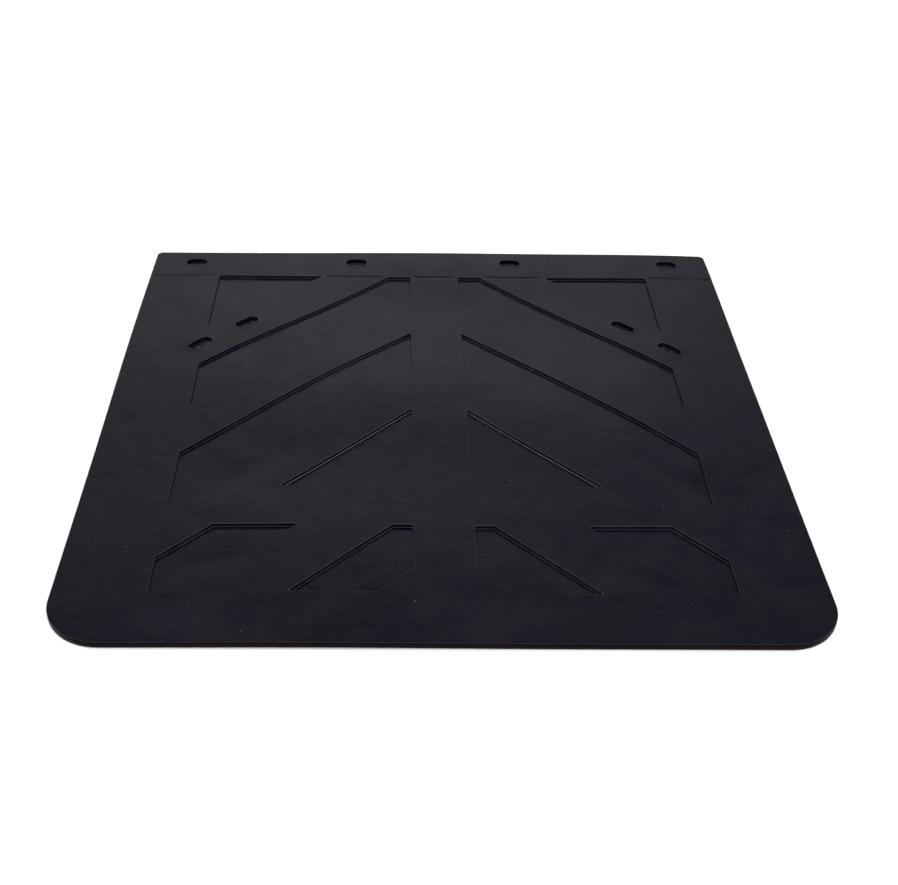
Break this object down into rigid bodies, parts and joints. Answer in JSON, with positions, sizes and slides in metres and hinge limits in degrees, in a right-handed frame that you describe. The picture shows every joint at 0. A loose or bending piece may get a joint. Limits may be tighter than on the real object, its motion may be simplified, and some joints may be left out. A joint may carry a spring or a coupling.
{
  "type": "mud flap",
  "caption": "Flexible rubber mud flap that hangs behind a road wheel, with a plain mounting band, fixing slots and recessed chevron pockets.",
  "frame": {"origin": "centre of the back face", "axes": "+Z out of the patterned face, +Y towards the mounting band (up, when the flap hangs), +X to the right when looking at the patterned face with the band at the top"},
  "size_m": [0.61, 0.61, 0.0063],
  "materials": {
    "rubber": "satin moulded black rubber, mottled, with fine specks",
    "fabric_ply": "rubber-coated woven nylon"
  },
  "bodies": {
    "mounting_band": {"mounting_band_rubber": "rubber", "mounting_band_fabric_ply": "fabric_ply"},
    "panel_1": {"panel_1_rubber": "rubber", "panel_1_fabric_ply": "fabric_ply"},
    "panel_2": {"panel_2_rubber": "rubber", "panel_2_fabric_ply": "fabric_ply"},
    "panel_3": {"panel_3_rubber": "rubber", "panel_3_fabric_ply": "fabric_ply"},
    "panel_4": {"panel_4_rubber": "rubber", "panel_4_fabric_ply": "fabric_ply"},
    "panel_5": {"panel_5_rubber": "rubber", "panel_5_fabric_ply": "fabric_ply"},
    "bottom_strip": {"bottom_strip_rubber": "rubber", "bottom_strip_fabric_ply": "fabric_ply"}
  },
  "joints": [
    {"name": "flex_1", "type": "hinge", "parent": "mounting_band", "child": "panel_1", "pos_m": [0, 0.211, 0.00635], "axis": [-1, 0, 0], "range_deg": [0, 25], "stiffness_Nm_per_rad": 0.6},
    {"name": "flex_2", "type": "hinge", "parent": "panel_1", "child": "panel_2", "pos_m": [0, 0.129, 0.00635], "axis": [-1, 0, 0], "range_deg": [0, 25], "stiffness_Nm_per_rad": 0.57},
    {"name": "flex_3", "type": "hinge", "parent": "panel_2", "child": "panel_3", "pos_m": [0, 0.038, 0.00635], "axis": [-1, 0, 0], "range_deg": [0, 25], "stiffness_Nm_per_rad": 0.49},
    {"name": "flex_4", "type": "hinge", "parent": "panel_3", "child": "panel_4", "pos_m": [0, -0.06, 0.00635], "axis": [-1, 0, 0], "range_deg": [0, 25], "stiffness_Nm_per_rad": 0.49},
    {"name": "flex_5", "type": "hinge", "parent": "panel_4", "child": "panel_5", "pos_m": [0, -0.158, 0.00635], "axis": [-1, 0, 0], "range_deg": [0, 25], "stiffness_Nm_per_rad": 0.49},
    {"name": "flex_6", "type": "hinge", "parent": "panel_5", "child": "bottom_strip", "pos_m": [0, -0.257, 0.00635], "axis": [-1, 0, 0], "range_deg": [0, 25], "stiffness_Nm_per_rad": 0.49}
  ]
}
